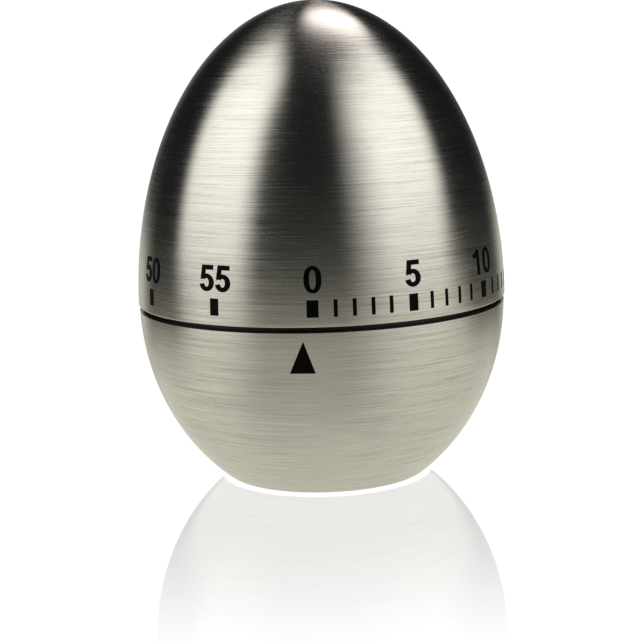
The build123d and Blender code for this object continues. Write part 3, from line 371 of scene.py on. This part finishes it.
def plastic(name, dark, light, roughness, grain_scale=3000.0):
    """Moulded plastic with a fine spark-eroded grain."""
    material, tree, shader = new_material(name)
    grain = tree.noise(tree.place(), grain_scale, 3.0)
    cloud = tree.noise(tree.place(), 60.0, 2.0)
    tree.links.new(tree.ramp(cloud, [(0.3, dark), (0.7, light)]), shader.inputs["Base Color"])
    tree.links.new(tree.spread(grain, roughness - 0.08, roughness + 0.08),
                   shader.inputs["Roughness"])
    tree.bump(grain, 0.25, 0.00003, shader)
    return material


def metal(name, dark, light, roughness, scale=(900.0, 900.0, 900.0)):
    """Bare metal with grain; an uneven scale makes rolling or turning marks."""
    material, tree, shader = new_material(name)
    mapping = tree.new("Mapping")
    mapping.inputs["Scale"].default_value = scale
    tree.links.new(tree.place(), mapping.inputs["Vector"])
    grain = tree.noise(mapping.outputs[0], 1.0, 5.0)
    cloud = tree.noise(tree.place(), 120.0, 3.0)
    mixed = tree.total(tree.product(grain, 0.6), tree.product(cloud, 0.4))
    tree.links.new(tree.ramp(mixed, [(0.35, dark), (0.65, light)]), shader.inputs["Base Color"])
    tree.links.new(tree.spread(mixed, roughness - 0.07, roughness + 0.1),
                   shader.inputs["Roughness"])
    shader.inputs["Metallic"].default_value = 1.0
    tree.bump(grain, 0.1, 0.00002, shader)
    return material


dome_steel = brushed_steel("dome_steel", -1.0)
bowl_steel = brushed_steel("bowl_steel", 1.0)
ink = printed_ink()
SLOT_MATERIALS = {
    "black_plastic": plastic("black_plastic", (0.008, 0.008, 0.008), (0.014, 0.014, 0.014), 0.5),
    "grey_plastic": plastic("grey_plastic", (0.30, 0.30, 0.31), (0.36, 0.36, 0.37), 0.45),
    "rubber": plastic("rubber", (0.010, 0.010, 0.010), (0.022, 0.021, 0.020), 0.75, 1500.0),
    "nickel": metal("nickel", (0.66, 0.62, 0.55), (0.76, 0.72, 0.65), 0.16),
    "zinc_steel": metal("zinc_steel", (0.52, 0.54, 0.56), (0.66, 0.68, 0.70), 0.30),
    "plate_brass": metal("plate_brass", (0.66, 0.46, 0.17), (0.80, 0.60, 0.27), 0.30,
                         (150.0, 2500.0, 900.0)),
    "wheel_brass": metal("wheel_brass", (0.70, 0.50, 0.20), (0.85, 0.66, 0.32), 0.24,
                         (2200.0, 250.0, 900.0)),
    "bright_steel": metal("bright_steel", (0.44, 0.44, 0.45), (0.60, 0.60, 0.61), 0.24,
                          (500.0, 500.0, 6000.0)),
    "sheet_steel": metal("sheet_steel", (0.36, 0.36, 0.37), (0.50, 0.50, 0.51), 0.34,
                         (250.0, 2500.0, 900.0)),
    "spring_steel": metal("spring_steel", (0.045, 0.055, 0.10), (0.10, 0.11, 0.17), 0.28,
                          (300.0, 300.0, 4000.0)),
    "fibre": plastic("fibre", (0.16, 0.045, 0.025), (0.24, 0.08, 0.045), 0.7, 900.0),
}


# ---- shells ---------------------------------------------------------------------------------
def make_shells():
    """The dome and the bowl, each a closed turned sheet that stands for its CAD shell."""
    outer, inner = dome_profile(0, 96), dome_profile(STEEL, 64)
    lip = rounded(inner[0], outer[0], outer[1], RIM_ROUND)
    dome = lathe("dome", inner[::-1] + lip + outer[1:], dome_steel)
    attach(dome, "dial")
    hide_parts("top_shell")

    rim_z = SEAM_Z - SEAM_GAP
    outer = bowl_profile(FOOT_LIFT, rim_z, 0, 96)
    inner = bowl_profile(FOLD_Z, rim_z - 0.05, STEEL, 64)
    fold = [(0, RECESS_Z + STEEL), (RECESS_R + STEEL, RECESS_Z + STEEL), (RECESS_R + STEEL, FOLD_TOP)]
    under = [(RECESS_R, FOOT_LIFT), (RECESS_R, RECESS_Z), (0, RECESS_Z)]
    foot = rounded(under[0], outer[0], outer[2], FOOT_ROUND)
    outline = fold + inner + outer[:1:-1] + foot[::-1] + under
    bowl = lathe("bowl", outline, bowl_steel)
    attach(bowl, "base")
    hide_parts("bottom_shell")
    for piece in (dome, bowl):
        piece.modifiers.new("edges", "EDGE_SPLIT").split_angle = SHARP


# ---- numerals, as flat shapes of height 1 ----------------------------------------------------
def patch(a, b, c, d, across=4, along=4):
    """A four-cornered patch: rows of points from a-b to d-c."""
    rows = []
    for j in range(along + 1):
        t = j / along
        left = (a[0] + (d[0] - a[0]) * t, a[1] + (d[1] - a[1]) * t)
        right = (b[0] + (c[0] - b[0]) * t, b[1] + (c[1] - b[1]) * t)
        rows.append([(left[0] + (right[0] - left[0]) * i / across,
                      left[1] + (right[1] - left[1]) * i / across) for i in range(across + 1)])
    return rows


def bow(centre, outside, inside, start, end, steps=28, power=2.0):
    """A curved stroke between two ellipses round one centre, from one angle to another."""
    rows = []
    for k in range(steps + 1):
        a = math.radians(start + (end - start) * k / steps)
        c, s = math.cos(a), math.sin(a)
        reach = (abs(c) ** power + abs(s) ** power) ** (-1 / power)
        rows.append([(centre[0] + c * reach * (inside[0] + (outside[0] - inside[0]) * i / 2),
                      centre[1] + s * reach * (inside[1] + (outside[1] - inside[1]) * i / 2))
                     for i in range(3)])
    return rows


DIGITS = {
    "0": [bow((0.33, 0.5), (0.32, 0.51), (0.118, 0.36), 0, 360, 48, 2.3)],
    "1": [patch((0.27, 0), (0.47, 0), (0.47, 1.0), (0.27, 1.0)),
          patch((0.03, 0.66), (0.29, 0.70), (0.32, 1.0), (0.03, 0.80))],
    "2": [bow((0.325, 0.69), (0.31, 0.32), (0.115, 0.17), 175, -20),
          patch((0.03, 0.0), (0.31, 0.14), (0.615, 0.58), (0.43, 0.63)),
          patch((0.03, 0), (0.64, 0), (0.64, 0.17), (0.10, 0.17))],
    "3": [bow((0.315, 0.735), (0.29, 0.275), (0.10, 0.13), 170, -80),
          bow((0.32, 0.285), (0.32, 0.295), (0.115, 0.15), 95, -168),
          patch((0.24, 0.46), (0.40, 0.46), (0.40, 0.605), (0.24, 0.605))],
    "4": [patch((0.37, 0), (0.56, 0), (0.56, 1.0), (0.37, 1.0)),
          patch((0.01, 0.22), (0.67, 0.22), (0.67, 0.38), (0.01, 0.38)),
          patch((0.01, 0.30), (0.19, 0.36), (0.42, 0.74), (0.38, 1.0))],
    "5": [bow((0.315, 0.325), (0.33, 0.34), (0.105, 0.165), 142, -168),
          patch((0.035, 0.43), (0.24, 0.47), (0.30, 1.0), (0.10, 1.0)),
          patch((0.12, 0.815), (0.61, 0.815), (0.61, 1.0), (0.12, 1.0))],
}
DIGIT_STEP, DIGIT_WIDTH = 0.70, 0.66


def print_on(name, shapes, profile, azimuth, body, surface_radius):
    """Lays flat shapes, in millimetres across and along, on a turned surface as ink."""
    verts, faces = [], []
    for rows in shapes:
        start, width = len(verts), len(rows[0])
        for row in rows:
            for across, along in row:
                r, z, out, up = walk(profile, along)
                a = math.radians(azimuth) + across / surface_radius
                r, z = r + out * INK_LIFT, z + up * INK_LIFT
                verts.append((r * math.cos(a) * MM, r * math.sin(a) * MM, z * MM))
        for j in range(len(rows) - 1):
            for i in range(width - 1):
                k = start + j * width + i
                faces.append((k, k + 1, k + width + 1, k + width))
    piece = new_object(name, verts, faces, ink)
    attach(piece, body)
    return piece


def numeral(text):
    """The patches of a whole number, centred, in millimetres."""
    width = DIGIT_STEP * len(text) - (DIGIT_STEP - DIGIT_WIDTH)
    shapes = []
    for place, digit in enumerate(text):
        shift = place * DIGIT_STEP - width / 2
        for rows in DIGITS[digit]:
            shapes.append([[((x + shift) * NUMERAL_HEIGHT * NUMERAL_WIDEN + NUMERAL_SHIFT,
                             NUMERAL_FROM + y * NUMERAL_HEIGHT) for x, y in row] for row in rows])
    return shapes


def block(width, low, high):
    """An upright bar, centred, in millimetres."""
    return patch((-width / 2, low), (width / 2, low), (width / 2, high), (-width / 2, high), 6, 6)


def make_scale():
    """The minute blocks, numerals and fine ticks on the dome, and the pointer on the bowl."""
    dome = dome_profile(0, 400)
    for minute in range(0, 60, 5):
        azimuth = FRONT + ZERO_TURN + MINUTE * minute
        width = BLOCK_WIDTH if minute else ZERO_BLOCK_WIDTH
        shapes = [block(width, BLOCK_FROM, BLOCK_TO)] + numeral(str(minute))
        print_on(f"mark_{minute:02d}", shapes, dome, azimuth, "dial", RADIUS - 0.5)
    for start in range(0, FINE_TICKS_UNTIL, 5):
        first = (ZERO_BLOCK_WIDTH if start == 0 else BLOCK_WIDTH) / 2 / RADIUS
        last = math.radians(5 * MINUTE) - BLOCK_WIDTH / 2 / RADIUS
        wide = TICK_WIDTH / RADIUS
        space = (last - first - 4 * wide) / 5 * TICK_CROWD
        for k in range(4):
            turn = math.degrees(first + space * (k + 1) + wide * (k + 0.5))
            azimuth = FRONT + ZERO_TURN + MINUTE * start + turn
            print_on(f"tick_{start + k + 1:02d}", [block(TICK_WIDTH, TICK_FROM, TICK_TO)],
                     dome, azimuth, "dial", RADIUS)
    bowl = bowl_profile(5.0, SEAM_Z - SEAM_GAP, 0, 300)[::-1]
    left, right = POINTER_LEAN - POINTER_WIDTH / 2, POINTER_LEAN + POINTER_WIDTH / 2
    arrow = patch((left, POINTER_TO), (right, POINTER_TO),
                  (POINTER_TIP, POINTER_FROM), (-POINTER_TIP, POINTER_FROM), 8, 8)
    print_on("pointer", [arrow], bowl, FRONT + POINTER_TURN, "base", RADIUS - 1)


def dress_cad():
    """Gives every CAD node that stays the material of its slot."""
    for entry in frame["record"]["subparts"]:
        material = SLOT_MATERIALS.get(entry["material_slot"])
        if material is None:
            continue
        node = frame["nodes"][entry["node"]]
        node.data.materials.clear()
        node.data.materials.append(material)


# ---- stage, light, camera ---------------------------------------------------------------------
def make_floor():
    """A white glossy sheet that glows. The camera sees it pure white, with a faint mirror image of
    the egg that fades outwards; the steel sees painted light and shade in its glow, lit from the
    sides and the back."""
    material = bpy.data.materials.new("floor")
    tree = Tree(material)
    size = FLOOR_SIZE
    corners = [(-size, -size, 0), (size, -size, 0), (size, size, 0), (-size, size, 0)]
    new_object("floor", corners, [(0, 1, 2, 3)], material, smooth=False)
    camera = tree.new("LightPath").outputs["Is Camera Ray"]
    x, y, _ = tree.split(tree.place())
    radius, turn = tree.radius(x, y), tree.azimuth(x, y)

    # the floor as the steel sees it: a glow with painted light and shade
    front = tree.product(tree.step(turn, *FRONT_LEFT), tree.step(turn, *FRONT_RIGHT),
                         tree.step(radius, *FRONT_FAR))
    lit = tree.math("SUBTRACT", FLOOR_PAINTED_SIDES, tree.product(front, FLOOR_PAINTED_SIDES - FLOOR_PAINTED_FRONT))
    aside = tree.math("ABSOLUTE", tree.math("SUBTRACT", turn, GAP_MIDDLE))
    gap = tree.product(tree.step(aside, *GAP_INNER), tree.step(aside, *GAP_OUTER),
                       tree.step(radius, *GAP_FAR), GAP_DEPTH)
    # painted shade on the floor behind the egg, deeper near it
    painted_shade_near = tree.product(tree.step(radius, *PAINTED_SHADE_NEAR), PAINTED_SHADE_NEAR_DEPTH)
    back = tree.product(tree.step(tree.math("ABSOLUTE", turn), *BACK_TURN),
                        tree.total(painted_shade_near, BACK_DEPTH))
    far = tree.product(tree.step(radius, *FAR), FAR_DEPTH)
    lit = tree.product(lit, tree.without(gap), tree.without(back), tree.without(far),
                       tree.step(y, *AHEAD))
    # the glow: evenly white for the camera, and for the steel the painted light and shade above,
    # warm-tinted
    glow = tree.new("Emission")
    tree.links.new(tree.mix(camera, FLOOR_WARM, (1.0, 1.0, 1.0)), glow.inputs["Color"])
    tree.links.new(tree.math("MAXIMUM", lit, tree.product(camera, WHITE)), glow.inputs["Strength"])

    # the mirror image that the camera sees in it
    mirror = tree.new("BsdfGlossy")
    mirror.inputs["Roughness"].default_value = 0.0
    mirror.inputs["Color"].default_value = (1, 1, 1, 1)
    image = tree.product(tree.step(radius, *IMAGE_FADE), tree.step(radius, *IMAGE_START),
                         IMAGE_STRENGTH, camera)
    mix = tree.new("MixShader")
    for value, socket in zip((image, glow.outputs[0], mirror.outputs[0]), mix.inputs):
        tree.links.new(value, socket)
    tree.links.new(mix.outputs[0], tree.new("OutputMaterial").inputs["Surface"])


def soft_box(tree, outward, height, inner, outer, lean, top):
    """A tall light panel between two azimuths; its outer edge leans out, its foot is a bit dimmer.
    inner, outer and top are (dark, lit) pairs of angles in degrees."""
    leaning = tree.math("SUBTRACT", outward, tree.product(height, lean))
    level = tree.total(tree.product(tree.step(height, *BOX_RISE), 1 - BOX_FOOT), BOX_FOOT)
    return tree.product(tree.step(outward, *inner), tree.step(leaning, *outer),
                        tree.step(height, *top), level, BOX_STRENGTH)


def make_world():
    """A dark studio with a tall soft box at each side, a round lamp high behind the egg and, low
    behind it, a pale backdrop. The camera, and the floor's mirror image, see only white."""
    world = bpy.data.worlds.new("studio")
    bpy.context.scene.world = world
    tree = Tree(world)
    direction = tree.place("Generated")
    x, y, z = tree.split(direction)
    rightward = tree.azimuth(x, y)
    leftward = tree.product(rightward, -1.0)
    height = tree.math("DEGREES", tree.math("ARCSINE", z))
    boxes = tree.total(
        soft_box(tree, leftward, height, (38, 57), (104, 90), 0.31, (76, 63)),
        soft_box(tree, rightward, height, (12, 53), (92, 73), 0.55, (76, 50)),
    )
    backdrop = tree.total(
        tree.product(tree.step(leftward, *BACKDROP_TURN), BACKDROP_LEFT),
        tree.product(tree.step(rightward, *BACKDROP_TURN), BACKDROP_RIGHT),
    )
    backdrop = tree.product(backdrop, tree.step(height, *BACKDROP_TOP))
    lamp = tree.new("VectorMath")
    lamp.operation = "DOT_PRODUCT"
    lamp.inputs[1].default_value = LAMP_DIRECTION
    tree.links.new(direction, lamp.inputs[0])
    spot = tree.step(lamp.outputs["Value"], LAMP_EDGE, LAMP_CORE)

    light = STUDIO_DARK
    for amount, colour in ((boxes, BOX_LIGHT), (backdrop, BACKDROP_LIGHT), (spot, LAMP_LIGHT)):
        light = tree.mix(amount, light, colour, "ADD")
    path = tree.new("LightPath").outputs
    plain = tree.math("MAXIMUM", path["Is Camera Ray"], path["Is Singular Ray"])
    background = tree.new("Background")
    tree.links.new(tree.mix(plain, light, (WHITE, WHITE, WHITE)), background.inputs["Color"])
    tree.links.new(background.outputs[0], tree.new("OutputWorld").inputs["Surface"])


def make_camera():
    """Long lens, a little above the seam, rolled slightly."""
    data = bpy.data.cameras.new("camera")
    data.lens = CAMERA_LENS
    data.sensor_width = SENSOR
    data.clip_start = 0.01
    data.clip_end = 20.0
    camera = bpy.data.objects.new("camera", data)
    bpy.context.scene.collection.objects.link(camera)
    look = (CAMERA_TARGET - CAMERA_PLACE).to_track_quat("-Z", "Y").to_matrix().to_4x4()
    roll = Matrix.Rotation(math.radians(CAMERA_ROLL), 4, "Z")
    camera.matrix_world = Matrix.Translation(CAMERA_PLACE * MM) @ look @ roll
    bpy.context.scene.camera = camera


dress_cad()
make_shells()
make_scale()
make_floor()
make_world()
make_camera()
bpy.context.scene.view_settings.view_transform = "Standard"
